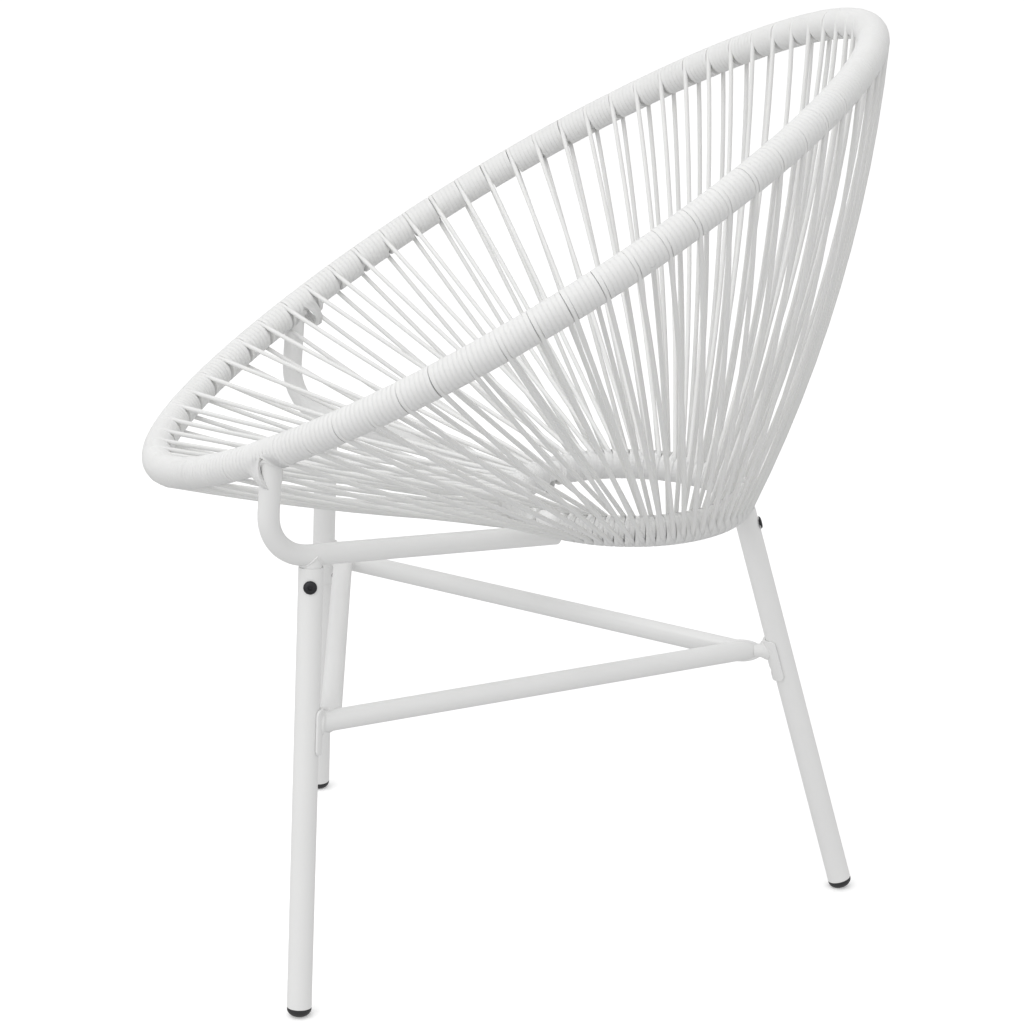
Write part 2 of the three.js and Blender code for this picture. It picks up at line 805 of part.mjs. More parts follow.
const blackRubber = materialOf(rubber, 0.6, 0);
const blackBolt = materialOf(blackSteel, 0.4, 0.8);
const zincSteel = materialOf(zinc, 0.4, 0.9);
for (const place of ['front_left', 'front_right', 'rear']) {
  const leg = legOf(place);
  addPiece(`leg_${place}`, legTube(place, leg), paintedSteel);
  addPiece(`leg_stub_${place}`, stub(place, leg), paintedSteel);
  addPiece(`leg_bolt_${place}`, legBolt(place, leg), blackBolt);
  addPiece(`leg_nut_${place}`, weldNut(place, leg), zincSteel);
  addPiece(`foot_plug_${place}`, footPlug(leg), blackRubber);
  addPiece(`brace_saddle_${place}`, saddle(place), paintedSteel);
  addPiece(`brace_screw_${place}`, saddleScrew(place), blackBolt);
}
addPiece('brace_side_left', braceSide(1), paintedSteel);
addPiece('brace_side_right', braceSide(-1), paintedSteel);
addPiece('brace_cross', braceCross(), paintedSteel);

// The origin lies on the floor under the middle of the whole chair.
const extent = new THREE.Box3().setFromObject(chair);
chair.position.y = -(extent.min.y + extent.max.y) / 2;

export default chair;
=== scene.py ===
import math
import random

import bmesh
import bpy
import numpy as np
from mathutils import Matrix, Vector


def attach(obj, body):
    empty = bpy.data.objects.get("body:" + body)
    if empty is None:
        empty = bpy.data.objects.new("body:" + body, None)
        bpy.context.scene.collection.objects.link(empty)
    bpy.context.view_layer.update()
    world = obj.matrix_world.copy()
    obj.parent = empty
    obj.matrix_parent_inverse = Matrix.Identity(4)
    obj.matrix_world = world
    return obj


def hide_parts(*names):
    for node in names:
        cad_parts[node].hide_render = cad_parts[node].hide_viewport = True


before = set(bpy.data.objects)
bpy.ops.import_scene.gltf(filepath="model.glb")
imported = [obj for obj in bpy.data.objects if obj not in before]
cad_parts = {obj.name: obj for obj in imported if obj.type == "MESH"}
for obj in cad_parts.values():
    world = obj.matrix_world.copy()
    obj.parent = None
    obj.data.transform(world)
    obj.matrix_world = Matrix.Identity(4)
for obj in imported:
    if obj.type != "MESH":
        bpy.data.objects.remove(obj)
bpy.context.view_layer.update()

# Sizes of the chair, in metres. The whole chair is centred between its front and back.
CENTRE_SHIFT = Vector((0, -0.000736, 0))
FIT = 0.0003
LIP = 0.0003
WELD_SINK = 0.0004

# The hoop and the ring: tube centres, and the hoop's shares of one, two and three waves a turn
RIM_WIDTH, RIM_LENGTH, RIM_HEIGHT = 0.665, 0.750, 0.639
RIM_TILT = math.radians(30.7)
RIM_WIDTH_SHARES = (1.0123, 0.0196, 0.0133)
RIM_LENGTH_SHARES = (0.9755, 0.0207, 0.0245)
RIM_TUBE = 0.010
RIM_SAMPLES = 4201
RING_RADIUS, RING_HEIGHT, RING_SETBACK = 0.105, 0.398, 0.111
RING_TUBE = 0.0095

# The cord
CORD = 0.0044
PAIR_SPREAD, PAIR_DRIFT = 0.00115, 0.0004
PAIRS, BAYS = 70, 10
PAIR_PITCH = 2 * math.pi / PAIRS

# Rails, legs and leg bolts
RAIL_TUBE, RAIL_WALL, RAIL_BEND = 0.0095, 0.0015, 0.048
RAIL_CORNER = Vector((0.239, -0.212, 0.420))
RAIL_WELD_PAIRS = 9
RAIL_END_DROP, RAIL_END_REACH = 0.012, 0.004
LEG_TUBE, LEG_WALL = 0.011, 0.0012
LEG_FROM_CORNER = 0.045
FRONT_FOOT = Vector((0.261, -0.192, 0))
REAR_FOOT = Vector((0, 0.323, 0))
LEG_TOP_GAP = 0.001
FOOT_DROP, FOOT_FLAT, FOOT_STEM = 0.009, 0.0012, 0.022
FOOT_RIM, FOOT_EDGE, FOOT_RIB = 0.0012, 0.0004, 0.003
STUB_WALL, STUB_LENGTH = 0.0015, 0.048
STUB_TUBE = LEG_TUBE - LEG_WALL - FIT
BOLT_DOWN = 0.016
BOLT_HEAD, BOLT_HEIGHT, BOLT_SHANK, BOLT_LENGTH = 0.0060, 0.0022, 0.003, 0.012
BOLT_SOCKET, BOLT_SOCKET_DEEP = 0.004, 0.0018
BOLT_DOME = ((0.96, 0), (1, 0.12), (0.985, 0.3), (0.93, 0.5), (0.83, 0.7), (0.7, 0.86), (0.52, 0.97))

# Stretcher, saddle plates and their screws
BRACE_TUBE = 0.0095
BRACE_FRONT, BRACE_REAR = 0.265, 0.244
BRACE_SETBACK, BRACE_APEX = 0.020, 0.037
BRACE_TIP_SINK = 0.001
SADDLE, SADDLE_ABOVE, SADDLE_BELOW = 0.0025, 0.005, 0.017
SADDLE_ARC = math.radians(150)
SADDLE_CORNER, SADDLE_EDGE, SADDLE_CUTS, SADDLE_SHARP = 0.005, 0.0005, 24, 1.2
SCREW_HEAD, SCREW_EDGE, SCREW_SHANK, SCREW_LENGTH = 0.0046, 0.0003, 0.0025, 0.012
SCREW_SOCKET, SCREW_SOCKET_DEEP = 0.003, 0.0016
SCREW_ROOM, SHANK_EDGE = 0.0002, 0.0004

# Weld beads: a rippled round bead, and the thicker one in the crotch of the stretcher
BEAD, STUB_BEAD = 0.0022, 0.0011
BEAD_SPOTS, BEAD_SIDES, BEAD_RIPPLES = 120, 10, 17
RIPPLE_SHARE, SWELL_SHARE = 0.10, 0.05
MITRE_BEAD, MITRE_FILL, MITRE_RIPPLE = 0.0016, 0.0022, 0.00015

TURN = 2 * math.pi
ACROSS, UP = Vector((1, 0, 0)), Vector((0, 0, 1))
FRONT, BACK = Vector((0, -1, 0)), Vector((0, 1, 0))
SIDES = {"front_left": 1, "front_right": -1, "rear": 0}
WORDS = {1: "left", -1: "right"}


# Places on the frame

def waves(shares, shape, angle):
    return sum(share * shape((i + 1) * angle) for i, share in enumerate(shares))


def rim_place(angle):
    """The hoop's centre line: angle 0 is the front and a quarter turn the sitter's left."""
    out = RIM_WIDTH / 2 * waves(RIM_WIDTH_SHARES, math.sin, angle)
    along = RIM_LENGTH / 2 * (RIM_LENGTH_SHARES[1] - waves(RIM_LENGTH_SHARES, math.cos, angle))
    place = Vector((out, along * math.cos(RIM_TILT), RIM_HEIGHT + along * math.sin(RIM_TILT)))
    return place + CENTRE_SHIFT


def ring_place(angle):
    back = RING_SETBACK - RING_RADIUS * math.cos(angle)
    return Vector((RING_RADIUS * math.sin(angle), back, RING_HEIGHT)) + CENTRE_SHIFT


RIM_NORMAL = Vector((0, -math.sin(RIM_TILT), math.cos(RIM_TILT)))


def directions(place, normal, angle):
    """The directions at one place of a bent tube: along it, outwards and up."""
    step = 1e-4
    along = (place(angle + step) - place(angle - step)).normalized()
    return along, along.cross(normal).normalized(), normal


rim_angles = np.linspace(-TURN, 2 * TURN, RIM_SAMPLES)
rim_points = np.array([rim_place(a) for a in rim_angles])
rim_steps = np.linalg.norm(np.diff(rim_points, axis=0), axis=1)
rim_lengths = np.concatenate([[0], np.cumsum(rim_steps)])
rim_lengths -= np.interp(0, rim_angles, rim_lengths)


def rim_length_at(angle):
    return float(np.interp(angle, rim_angles, rim_lengths))


def rim_angle_at(length):
    return float(np.interp(length, rim_lengths, rim_angles))


RAIL_ANGLE = RAIL_WELD_PAIRS * PAIR_PITCH
RAIL_GAP = (RAIL_TUBE + CORD / 2 + FIT) / RING_RADIUS
REAR_GAP = (STUB_TUBE + CORD / 2 + FIT) / RING_RADIUS


def ring_angle_of(pairs):
    """The ring's angle for a place counted in string pairs from the front."""
    half = PAIRS / 2
    if pairs > half:
        return TURN - ring_angle_of(PAIRS - pairs)
    if pairs <= RAIL_WELD_PAIRS:
        return pairs / RAIL_WELD_PAIRS * (RAIL_ANGLE - RAIL_GAP)
    share = (pairs - RAIL_WELD_PAIRS) / (half - RAIL_WELD_PAIRS)
    start = RAIL_ANGLE + RAIL_GAP
    return start + share * (math.pi - REAR_GAP - start)


def sided(side, place):
    return Vector((side * place.x, place.y, place.z)) + CENTRE_SHIFT


def towards(start, end, distance):
    return start + (end - start).normalized() * distance


def rail_points(side):
    corner = sided(side, RAIL_CORNER)
    joint = ring_place(side * RAIL_ANGLE) - UP * RAIL_END_DROP
    return rim_place(side * RAIL_ANGLE), corner, towards(joint, corner, -RAIL_END_REACH)


def leg_ends(place):
    """The leg's carrier, the top and end of its tube, and the way it points."""
    side = SIDES[place]
    if side:
        _, corner, end = rail_points(side)
        carrier, foot = towards(corner, end, LEG_FROM_CORNER), sided(side, FRONT_FOOT)
        clear = RAIL_TUBE
    else:
        carrier, foot = ring_place(math.pi), REAR_FOOT + CENTRE_SHIFT
        clear = RING_TUBE + CORD
    axis = (foot - carrier).normalized()
    tilt = math.acos(-axis.z)
    reach = math.hypot(LEG_TUBE * math.sin(tilt), FOOT_DROP * math.cos(tilt))
    end = foot + axis * ((reach - FOOT_FLAT) / axis.z)
    return carrier, carrier + axis * (clear + LEG_TOP_GAP), end, axis


def leg_place(place, height):
    _, top, end, _ = leg_ends(place)
    return top.lerp(end, (top.z - height) / (top.z - end.z))


def square_to(direction, axis):
    return (direction - axis * direction.dot(axis)).normalized()


def brace_start(side):
    return leg_place(f"front_{WORDS[side]}", BRACE_FRONT)


def brace_apex():
    return leg_place("rear", BRACE_REAR) + FRONT * BRACE_APEX


def saddle_place(place):
    """The middle of a saddle on its leg, the leg's direction, and the way its tube leaves."""
    side = SIDES[place]
    centre = leg_place(place, BRACE_FRONT if side else BRACE_REAR)
    inward = brace_apex() - brace_start(side) if side else FRONT
    axis = leg_ends(place)[3]
    return centre, axis, square_to(inward, axis)


# Making meshes

MERGE, ON_PLANE = 1e-7, 1e-6
SPIN_STEPS = 48


def linked(name, data):
    thing = bpy.data.objects.new(name, data)
    bpy.context.scene.collection.objects.link(thing)
    return thing


def finished(name, bm, material, replaced=(), smooth_angle=math.radians(40)):
    """Turns a bmesh into a piece that rides on the chair's one body."""
    bmesh.ops.recalc_face_normals(bm, faces=bm.faces)
    mesh = bpy.data.meshes.new(name)
    bm.to_mesh(mesh)
    bm.free()
    piece = linked(name, mesh)
    mesh.materials.append(material)
    mesh.shade_smooth()
    mesh.set_sharp_from_angle(angle=smooth_angle)
    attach(piece, "root")
    if replaced:
        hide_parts(*replaced)


def fill_holes(bm):
    bmesh.ops.holes_fill(bm, edges=[e for e in bm.edges if e.is_boundary], sides=0)


def everything(bm):
    return list(bm.verts) + list(bm.edges) + list(bm.faces)


def cut_off(bm, place, way):
    """Takes away what lies beyond a plane, and closes the cut."""
    bmesh.ops.bisect_plane(bm, geom=everything(bm), dist=ON_PLANE, plane_co=place, plane_no=way,
                           clear_outer=True)
    fill_holes(bm)


def rolled(rows, closed=False):
    """Rolls a flat grid into a tube through rows of outlines, and closes its ends or joins them."""
    bm = bmesh.new()
    bm.loops.layers.uv.new("UVMap")
    steps, sides = len(rows) - (0 if closed else 1), len(rows[0])
    grid = bmesh.ops.create_grid(bm, x_segments=steps, y_segments=sides, size=0.5, calc_uvs=True)
    verts = grid["verts"]
    for v in verts:
        i, j = round((v.co.x + 0.5) * steps), round((v.co.y + 0.5) * sides)
        v.co = rows[i % len(rows)][j % sides]
    bmesh.ops.remove_doubles(bm, verts=verts, dist=MERGE)
    if not closed:
        fill_holes(bm)
    return bm


def outline(centre, first, second, radius, sides):
    return [centre + first * (radius * math.cos(TURN * j / sides))
            + second * (radius * math.sin(TURN * j / sides)) for j in range(sides)]


def square_pair(axis):
    """Two directions square to an axis and to each other."""
    first = square_to(UP if abs(axis.dot(UP)) < 0.95 else ACROSS, axis)
    return first, axis.cross(first)


def spun(profile):
    """Spins a profile of (radius, height) points about the upright axis."""
    bm = bmesh.new()
    points = [bm.verts.new((radius, 0, height)) for radius, height in profile]
    edges = [bm.edges.new(pair) for pair in zip(points, points[1:])]
    bmesh.ops.spin(bm, geom=points + edges, cent=(0, 0, 0), axis=(0, 0, 1), dvec=(0, 0, 0),
                   angle=TURN, steps=SPIN_STEPS, use_merge=True, use_duplicate=False)
    bmesh.ops.remove_doubles(bm, verts=bm.verts, dist=MERGE)
    return bm


def seated(bm, seat, axis):
    """Lays a spun shape's upright axis along another one, with its zero height at the seat."""
    first, second = square_pair(axis)
    turn = Matrix((first, second, axis)).transposed().to_4x4()
    bmesh.ops.transform(bm, matrix=Matrix.Translation(seat) @ turn, verts=bm.verts)
    return bm


def drilled(name, bm, tool):
    """Cuts a closed tool out of a piece, and gives back the piece's bmesh."""
    bmesh.ops.recalc_face_normals(bm, faces=bm.faces)
    bmesh.ops.recalc_face_normals(tool, faces=tool.faces)
    pair = []
    for part in (bm, tool):
        mesh = bpy.data.meshes.new(name)
        part.to_mesh(mesh)
        part.free()
        pair.append(linked(name, mesh))
    cut = pair[0].modifiers.new("hole", "BOOLEAN")
    cut.object = pair[1]
    cut.operation = "DIFFERENCE"
    cut.solver = "EXACT"
    result = bmesh.new()
    result.from_object(pair[0], bpy.context.evaluated_depsgraph_get())
    for part in pair:
        bpy.data.objects.remove(part)
    return result


def on_carrier(origin, direction, carrier_point, carrier_axis, radius):
    """How far along direction a line from origin leaves a round carrier, or passes it nearest."""
    offset = origin - carrier_point
    offset -= carrier_axis * offset.dot(carrier_axis)
    run = direction - carrier_axis * direction.dot(carrier_axis)
    a, b, c = run.dot(run), 2 * offset.dot(run), offset.dot(offset) - radius * radius
    root = b * b - 4 * a * c
    return (-b + math.sqrt(root)) / (2 * a) if root > 0 else -b / (2 * a)


# Materials

NOISE_LOW, NOISE_HIGH = 0.3, 0.7


def shader(name, slot, colour, roughness, metallic=0.0):
    """A material for one of the slots, and its surface's inputs."""
    material = bpy.data.materials.new(name)
    material.use_nodes = True
    material["slot"] = slot
    surface = material.node_tree.nodes["Principled BSDF"].inputs
    surface["Base Color"].default_value = (*colour, 1)
    surface["Roughness"].default_value = roughness
    surface["Metallic"].default_value = metallic
    return material, surface


def add(material, kind, **values):
    node = material.node_tree.nodes.new(kind)
    for name, value in values.items():
        setattr(node, name, value)
    return node


def link(material, start, end):
    material.node_tree.links.new(start, end)


def noise(material, source, scale, detail):
    node = add(material, "ShaderNodeTexNoise")
    node.inputs["Scale"].default_value = scale
    node.inputs["Detail"].default_value = detail
    link(material, source, node.inputs["Vector"])
    return node.outputs["Fac"]


def ramp(material, source, low, high):
    """Stretches the middle of a noise over a range of values."""
    node = add(material, "ShaderNodeMapRange")
    node.inputs["From Min"].default_value = NOISE_LOW
    node.inputs["From Max"].default_value = NOISE_HIGH
    node.inputs["To Min"].default_value = low
    node.inputs["To Max"].default_value = high
    link(material, source, node.inputs["Value"])
    return node.outputs["Result"]


def tinted(material, factor, dark, light):
    node = add(material, "ShaderNodeMix", data_type="RGBA")
    node.inputs["A"].default_value = (*dark, 1)
    node.inputs["B"].default_value = (*light, 1)
    link(material, factor, node.inputs["Factor"])
    return node.outputs["Result"]


def bumped(material, height, distance, strength):
    node = add(material, "ShaderNodeBump")
    node.inputs["Distance"].default_value = distance
    node.inputs["Strength"].default_value = strength
    link(material, height, node.inputs["Height"])
    surface = material.node_tree.nodes["Principled BSDF"]
    link(material, node.outputs["Normal"], surface.inputs["Normal"])


def object_coordinates(material):
    return add(material, "ShaderNodeTexCoord").outputs["Object"]


def powder_coat():
    """Satin white powder coat, with a fine orange peel and a little unevenness."""
    material, surface = shader("white_powder_coat", "white_paint", (0.83, 0.83, 0.825), 0.38)
    place = object_coordinates(material)
    cloud = noise(material, place, 9.0, 4.0)
    peel = noise(material, place, 850.0, 2.0)
    link(material, tinted(material, cloud, (0.80, 0.80, 0.795), (0.86, 0.86, 0.855)),
         surface["Base Color"])
    link(material, ramp(material, peel, 0.33, 0.43), surface["Roughness"])
    bumped(material, peel, 0.00012, 0.5)
    return material


def vinyl():
    """Smooth white vinyl cord: a soft sheen, a very fine grain and a little unevenness."""
    material, surface = shader("white_vinyl", "vinyl_cord", (0.81, 0.81, 0.80), 0.48)
    surface["Specular IOR Level"].default_value = 0.32
    surface["Subsurface Weight"].default_value = 0.3
    surface["Subsurface Radius"].default_value = (1, 1, 0.95)
    surface["Subsurface Scale"].default_value = 0.003
    place = object_coordinates(material)
    cloud = noise(material, place, 14.0, 4.0)
    grain = noise(material, place, 1400.0, 2.0)
    link(material, tinted(material, cloud, (0.785, 0.785, 0.777), (0.835, 0.835, 0.829)),
         surface["Base Color"])
    link(material, ramp(material, cloud, 0.44, 0.54), surface["Roughness"])
    bumped(material, grain, 0.00004, 0.4)
    return material


def speckled(name, slot, colour, roughness, metallic, scale, depth):
    """A finely speckled finish, uneven in its colour, its gloss and its height."""
    material, surface = shader(name, slot, colour, roughness[0], metallic)
    speck = noise(material, object_coordinates(material), scale, 3.0)
    dark = tuple(0.8 * c for c in colour)
    light = tuple(1.25 * c for c in colour)
    link(material, tinted(material, speck, dark, light), surface["Base Color"])
    link(material, ramp(material, speck, *roughness), surface["Roughness"])
    bumped(material, speck, depth, 0.6)
    return material


white_paint = powder_coat()
vinyl_cord = vinyl()
black_rubber = speckled("black_foot_plastic", "black_rubber", (0.022, 0.022, 0.024), (0.45, 0.62),
                        0.0, 900.0, 0.0001)
black_steel = speckled("black_oxide_steel", "black_steel", (0.030, 0.030, 0.033), (0.28, 0.42),
                       0.6, 700.0, 0.00005)
zinc_steel = speckled("zinc_plate", "zinc_steel", (0.60, 0.61, 0.63), (0.25, 0.45),
                      0.9, 500.0, 0.00005)


# The seat cord: it winds round the hoop, runs over it to the ring, round that and back up

TURN_STEPS = 22
CORD_SIDES = 12
STRING_STEPS = 12
RING_STEPS = 50
RING_TURNS = (0, 0.25, 0.75, 1.25, 1.75, 2.25, 2.5)
RING_PLACES = (-0.75, -0.667, -0.5, 0, 0.5, 0.667, 0.75)
RING_ROOMS = (0.7, 0.667, 1, 0.667, 1, 0.667, 0.7)
ROUND_SHARES = (0, 0.5, 0.866, 1)
SQUEEZED_WIDE_SHARES = (0, 0.90, 1, 1)
SQUEEZED_TALL_SHARES = (0, 0.90, 0.98, 1)
SNUG = 1.003
FLATTENING, PRESSING = 0.5, 0.03
HOOP_EASE, RING_EASE = math.pi / 2, math.pi / 3
TURN_ROOM = 0.0045
UNEVEN = 0.00005
RING_PITCH_LIMIT = 0.0405
FRONT_SLACK, REAR_SLACK, SLACK_DRIFT, SWAY = 0.014, 0.046, 0.15, 0.0006
RAIL_LOBE, RAIL_PILE, LOBE_RUN = 0.017, 0.0008, 0.013
draw = random.Random(7)
string_drift = [[draw.uniform(-1, 1) for _ in range(4)] for _ in range(PAIRS)]


def string_ends(pair, over):
    """Where the upper or lower string of a pair leaves the hoop and meets the ring, each as the
    turn round the tube, the place and the way out from the tube, and how its middle bows."""
    pairs = pair + 0.5
    side = -1 if over else 1
    drift = string_drift[pair % PAIRS][0 if over else 1]
    length = rim_length_at(pairs * PAIR_PITCH) + side * PAIR_SPREAD + PAIR_DRIFT * drift
    rim_angle = rim_angle_at(length)
    here = pairs % PAIRS
    low, high = ring_angle_of(max(here - 0.5, 0)), ring_angle_of(min(here + 0.5, PAIRS))
    middle = ring_angle_of(here)
    ring_pitch = min(high - middle, middle - low, RING_PITCH_LIMIT)
    ring_angle = middle + side * RING_PLACES[-1] * ring_pitch
    rim_centre, ring_centre = rim_place(rim_angle), ring_place(ring_angle)
    rim_frame = directions(rim_place, RIM_NORMAL, rim_angle)
    ring_frame = directions(ring_place, UP, ring_angle)
    rearward = max(0.0, -math.cos(rim_angle)) ** 2
    slack = (FRONT_SLACK + (REAR_SLACK - FRONT_SLACK) * rearward) * (1 + SLACK_DRIFT * drift)
    start, end = rim_centre, ring_centre
    for _ in range(3):
        run = (end - start).normalized()
        bowed = run.cross(rim_frame[0]).normalized()
        ends = []
        for centre, (_, out, normal), tube, lean in (
                (rim_centre, rim_frame, RIM_TUBE, 4 * slack),
                (ring_centre, ring_frame, RING_TUBE, -4 * slack)):
            leaving = run + bowed * lean
            facing = math.atan2(leaving.dot(normal), leaving.dot(out))
            turn = facing + side * math.pi / 2
            radial = out * math.cos(turn) + normal * math.sin(turn)
            ends.append((turn, centre + radial * (tube + CORD / 2), radial))
        start, end = ends[0][1], ends[1][1]
    bow = bowed * (slack * (end - start).length)
    return {"length": length, "ring_angle": ring_angle, "ring_pitch": ring_pitch,
            "rim": ends[0], "ring": ends[1], "bow": bow}


over_strings = [string_ends(pair, True) for pair in range(PAIRS + 1)]
under_strings = [string_ends(pair, False) for pair in range(PAIRS)]


def beside_rail(length, turn):
    """Turns that pass the rail's weld lean aside, and those wound before it hang down as a lobe."""
    reach = rim_length_at(TURN) / PAIRS / 2
    for side in WORDS:
        weld = rim_length_at(RAIL_ANGLE if side > 0 else TURN - RAIL_ANGLE)
        away = length - weld
        if abs(away) > 2 * reach:
            continue
        _, out, normal = directions(rim_place, RIM_NORMAL, side * RAIL_ANGLE)
        top, corner, _ = rail_points(side)
        down = (corner - top).normalized()
        rail_turn = math.atan2(down.dot(normal), down.dot(out))
        facing = max(0.0, math.cos(turn - rail_turn))
        clear = (RAIL_TUBE + CORD / 2 + FIT) * facing ** 0.5
        aside = max(abs(away), clear + abs(away) * (reach - clear) / reach)
        lobe = RAIL_LOBE if away < 0 else RAIL_PILE
        pile = lobe * facing ** 2.5 * max(0.0, 1 - max(0.0, aside - clear) / LOBE_RUN)
        return weld + math.copysign(aside, away), pile
    return length, 0.0


def wound_place(length, turn, lift):
    """A place on the hoop's winding, and the way out from the tube there."""
    angle = rim_angle_at(length)
    _, out, normal = directions(rim_place, RIM_NORMAL, angle)
    radial = out * math.cos(turn) + normal * math.sin(turn)
    return rim_place(angle) + radial * (RIM_TUBE + lift), radial


def wound_height(width, tightness):
    """How tall the cord stands where it is squeezed to a width, and pressed on its tube."""
    return CORD * (1 + FLATTENING * (CORD / width - 1)) * (1 - PRESSING * tightness)


def hoop_winding(pair):
    """The turns from the lower string of one pair to the upper string of the next."""
    start, end = under_strings[pair], over_strings[pair + 1]
    run = end["length"] - start["length"]
    turns = max(3, round(run / TURN_ROOM - 0.5))
    total = (end["rim"][0] - start["rim"][0]) % TURN + turns * TURN
    steps = TURN_STEPS * turns + TURN_STEPS // 2
    pitch = run / (total / TURN)
    samples = []
    for k in range(steps + 1):
        share = k / steps
        turn = start["rim"][0] + share * total
        length, pile = beside_rail(start["length"] + run * share, turn)
        tightness = min(1.0, min(share, 1 - share) * total / HOOP_EASE)
        middle, radial = wound_place(length, turn, CORD / 2)
        low, high = (wound_place(length + step, turn, CORD / 2)[0] for step in (-pitch / 2, pitch / 2))
        width = CORD + ((high - low).length * SNUG - CORD) * tightness
        height = wound_height(width, tightness)
        uneven = UNEVEN * math.sin(3.1 * pair + 1.7 * turn / TURN) * tightness
        centre = middle + radial * ((height - CORD) / 2 + pile * tightness + uneven)
        samples.append((centre, radial, width, height, tightness))
    return samples, turns


def ring_winding(pair):
    """Two and a half turns round the ring, from a pair's upper string to its lower one: two lie
    side by side where they face the hoop, and three are squeezed together behind."""
    first, last = over_strings[pair], under_strings[pair]
    start, end = first["ring"][0], last["ring"][0]
    total = (end - start) % TURN + 2 * TURN
    middle = (first["ring_angle"] + last["ring_angle"]) / 2
    spacing = first["ring_pitch"] * RING_RADIUS
    samples = []
    for k in range(RING_STEPS + 1):
        share = k / RING_STEPS
        turn = start + share * total
        passed = share * RING_TURNS[-1]
        angle = middle + first["ring_pitch"] * float(np.interp(passed, RING_TURNS, RING_PLACES))
        _, out, normal = directions(ring_place, UP, angle)
        radial = out * math.cos(turn) + normal * math.sin(turn)
        tightness = min(1.0, min(share, 1 - share) * total / RING_EASE)
        room = spacing * (RING_RADIUS + (RING_TUBE + CORD / 2) * math.cos(turn)) / RING_RADIUS
        room *= float(np.interp(passed, RING_TURNS, RING_ROOMS))
        width = CORD + (room * SNUG - CORD) * tightness
        height = wound_height(width, tightness)
        centre = ring_place(angle) + radial * (RING_TUBE + height / 2)
        samples.append((centre, radial, width, height, tightness))
    return samples


def free_string(pair, over):
    """The stretch between hoop and ring, slack enough to bow, without its two ends."""
    ends = (over_strings if over else under_strings)[pair]
    start, end = ends["rim"], ends["ring"]
    if not over:
        start, end = end, start
    drift = string_drift[pair % PAIRS][2 if over else 3]
    sideways = (end[1] - start[1]).cross(start[2]).normalized()
    samples = []
    for k in range(1, STRING_STEPS):
        share = k / STRING_STEPS
        belly = 4 * share * (1 - share)
        centre = start[1].lerp(end[1], share) + (ends["bow"] + sideways * (SWAY * drift)) * belly
        samples.append((centre, start[2].lerp(end[2], share), CORD, CORD, 0))
    return samples


def bent(value, shares):
    return math.copysign(float(np.interp(abs(value), ROUND_SHARES, shares)), value)


def cord_outline(samples, k):
    """The cord's section at one sample: round when free, nearly square where it is wound tight."""
    centre, radial, width, height, squeezed = samples[k]
    before, after = samples[max(k - 1, 0)][0], samples[min(k + 1, len(samples) - 1)][0]
    along = (after - before).normalized()
    up = square_to(radial, along)
    side = along.cross(up)
    points = []
    for j in range(CORD_SIDES):
        wide, tall = math.cos(TURN * j / CORD_SIDES), math.sin(TURN * j / CORD_SIDES)
        wide += squeezed * (bent(wide, SQUEEZED_WIDE_SHARES) - wide)
        tall += squeezed * (bent(tall, SQUEEZED_TALL_SHARES) - tall)
        points.append(centre + side * (wide * width / 2) + up * (tall * height / 2))
    return points


windings = [hoop_winding(pair) for pair in range(PAIRS)]


def split_at(turns):
    return TURN_STEPS * (turns // 2)


def seat_cord(bay):
    """A bay of the cord, from the middle of a winding on the hoop to that seven pairs on."""
    each = PAIRS // BAYS
    first = bay * each
    before, turns = windings[first - 1]
    samples = list(before[split_at(turns):])
    for pair in range(first, first + each):
        samples += free_string(pair, True)
        samples += ring_winding(pair)
        samples += free_string(pair, False)
        wound, turns = windings[pair]
        samples += wound if pair < first + each - 1 else wound[:split_at(turns) + 1]
    bm = rolled([cord_outline(samples, k) for k in range(len(samples))])
    finished(f"seat_cord_bay_{bay + 1:02d}", bm, vinyl_cord, [f"seat_cord_{bay + 1:02d}"],
             math.radians(36))


# Hoop, ring and rails

TUBE_SIDES, RAIL_SIDES = 24, 28
RAIL_BEND_STEPS, RAIL_BORE_DEEP = 16, 0.03


def bent_tube(name, place, normal, tube, node, steps):
    rows = []
    for i in range(steps):
        angle = TURN * i / steps
        _, out, up = directions(place, normal, angle)
        rows.append(outline(place(angle), out, up, tube, TUBE_SIDES))
    finished(name, rolled(rows, closed=True), white_paint, [node])


def rail_route(side):
    """The rail's centre line with its bend, and the direction square to its plane."""
    top, corner, end = rail_points(side)
    rise, run = (top - corner).normalized(), (end - corner).normalized()
    bend = math.pi - rise.angle(run)
    setback = RAIL_BEND * math.tan(bend / 2)
    centre = corner + (rise + run).normalized() * (RAIL_BEND / math.cos(bend / 2))
    start = corner + rise * setback - centre
    axis = start.cross(corner + run * setback - centre).normalized()
    arc = [centre + Matrix.Rotation(bend * i / RAIL_BEND_STEPS, 3, axis) @ start
           for i in range(RAIL_BEND_STEPS + 1)]
    return [top] + arc + [end], rise.cross(run).normalized()


def rail(side):
    """A bent tube, open at its ring end, with its wall showing there."""
    route, flat = rail_route(side)
    rows = []
    for i, point in enumerate(route):
        before, after = route[max(i - 1, 0)], route[min(i + 1, len(route) - 1)]
        along = (after - before).normalized()
        rows.append(outline(point, flat, flat.cross(along), RAIL_TUBE, RAIL_SIDES))
    last = (route[-1] - route[-2]).normalized()
    bore = RAIL_TUBE - RAIL_WALL
    for back, radius in ((-LIP, RAIL_TUBE), (0, RAIL_TUBE - LIP), (0, bore + LIP), (-LIP, bore),
                         (-RAIL_BORE_DEEP, bore)):
        middle = route[-1] + last * (LIP + back)
        rows.append(outline(middle, flat, flat.cross(last), radius, RAIL_SIDES))
    word = WORDS[side]
    finished(f"painted_support_rail_{word}", rolled(rows), white_paint, [f"support_rail_{word}"])


# Legs, stubs, feet and bolts

